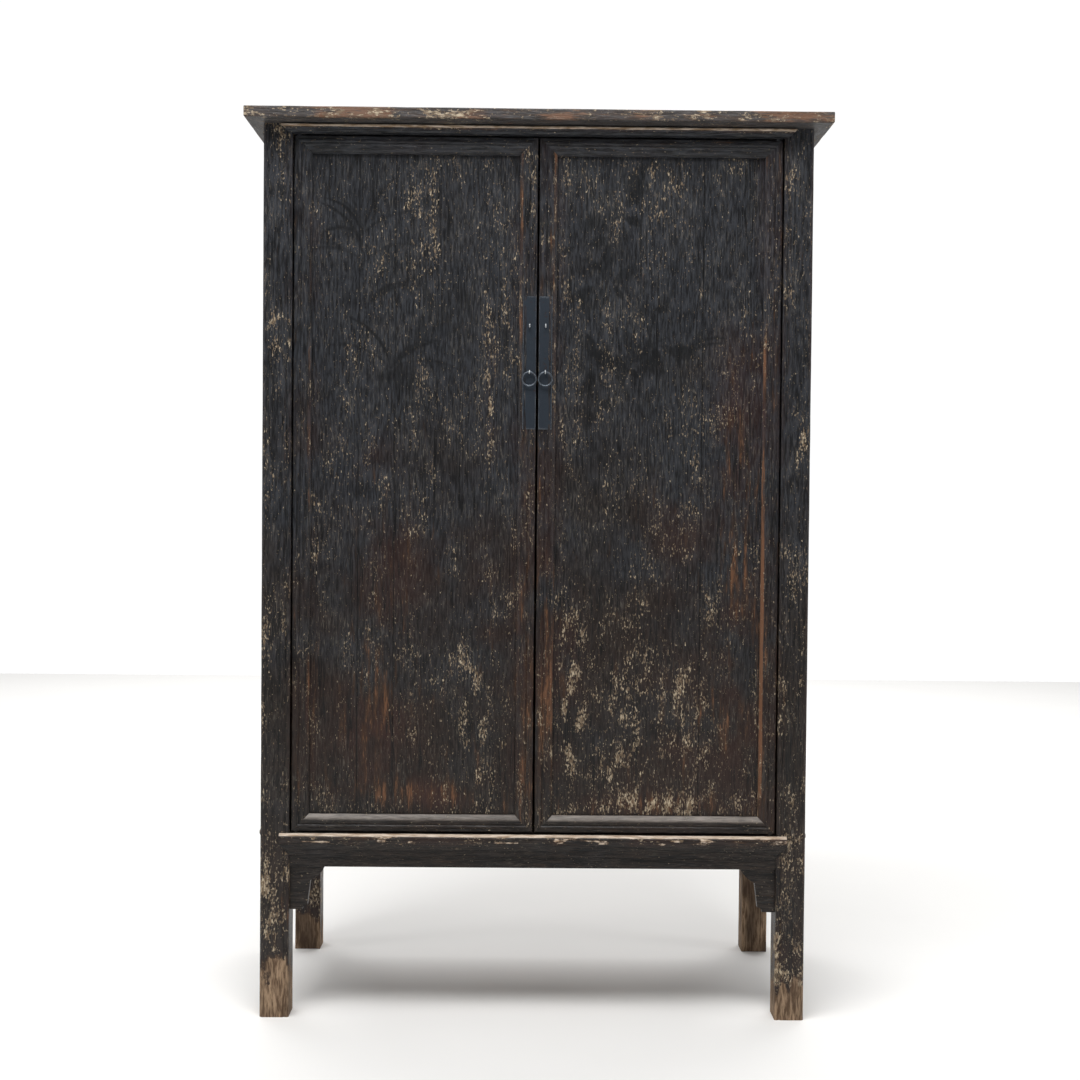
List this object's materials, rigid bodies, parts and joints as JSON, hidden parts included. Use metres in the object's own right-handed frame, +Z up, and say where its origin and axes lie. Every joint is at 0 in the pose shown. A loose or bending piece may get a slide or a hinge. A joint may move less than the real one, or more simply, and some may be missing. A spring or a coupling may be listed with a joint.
{
  "type": "armoire",
  "caption": "Tall two-door lacquered wood cabinet on four straight legs, with ring pulls, iron face plates, framed panel doors and shelves inside.",
  "frame": {"origin": "on the floor, under the middle of the cap, which is the middle of the whole footprint", "axes": "+Z up, -Y to the front where the doors are, +X to the right seen from the front"},
  "size_m": [1.186, 0.618, 1.85],
  "materials": {
    "lacquer": "black lacquer over softwood, crackled and worn through to reddish and bare wood on the edges",
    "raw_wood": "bare, darkened softwood inside and behind",
    "iron": "hammered iron, dark with handling"
  },
  "bodies": {
    "case": {"apron_front": "lacquer", "apron_left": "lacquer", "apron_right": "lacquer", "back_battens": "raw_wood", "back_panel": "raw_wood", "base_rail_back": "lacquer", "base_rail_front": "lacquer", "base_rail_left": "lacquer", "base_rail_right": "lacquer", "floor_battens": "raw_wood", "floor_panel": "raw_wood", "head_rail_back": "lacquer", "head_rail_front": "lacquer", "head_rail_left": "lacquer", "head_rail_right": "lacquer", "post_back_left": "lacquer", "post_back_right": "lacquer", "post_front_left": "lacquer", "post_front_right": "lacquer", "shelf_bearers_left": "raw_wood", "shelf_bearers_right": "raw_wood", "shelf_lower": "raw_wood", "shelf_upper": "raw_wood", "side_panel_left": "lacquer", "side_panel_right": "lacquer", "spandrel_front_left": "lacquer", "spandrel_front_right": "lacquer", "spandrels_left": "lacquer", "spandrels_right": "lacquer", "top_battens": "raw_wood", "top_frame_back": "lacquer", "top_frame_front": "lacquer", "top_frame_left": "lacquer", "top_frame_right": "lacquer", "top_panel": "lacquer"},
    "door_left": {"door_left_battens": "raw_wood", "door_left_bottom_rail": "lacquer", "door_left_face_plate": "iron", "door_left_lock_staple": "iron", "door_left_meeting_stile": "lacquer", "door_left_outer_stile": "lacquer", "door_left_panel": "lacquer", "door_left_ring_eye": "iron", "door_left_top_rail": "lacquer"},
    "door_right": {"door_right_battens": "raw_wood", "door_right_bottom_rail": "lacquer", "door_right_face_plate": "iron", "door_right_lock_staple": "iron", "door_right_meeting_stile": "lacquer", "door_right_outer_stile": "lacquer", "door_right_panel": "lacquer", "door_right_ring_eye": "iron", "door_right_top_rail": "lacquer"},
    "ring_left": {"door_left_ring_pull": "iron"},
    "ring_right": {"door_right_ring_pull": "iron"}
  },
  "joints": [
    {"name": "door_left_hinge", "type": "hinge", "parent": "case", "child": "door_left", "pos_m": [-0.487, -0.263, 1.0915], "axis": [0, 0, -1], "range_deg": [0, 95]},
    {"name": "door_right_hinge", "type": "hinge", "parent": "case", "child": "door_right", "pos_m": [0.487, -0.263, 1.0915], "axis": [0, 0, 1], "range_deg": [0, 95]},
    {"name": "ring_left_hinge", "type": "hinge", "parent": "door_left", "child": "ring_left", "pos_m": [-0.0163, -0.2768, 1.325], "axis": [-1, 0, 0], "range_deg": [0, 100]},
    {"name": "ring_right_hinge", "type": "hinge", "parent": "door_right", "child": "ring_right", "pos_m": [0.0163, -0.2768, 1.325], "axis": [-1, 0, 0], "range_deg": [0, 100]}
  ]
}
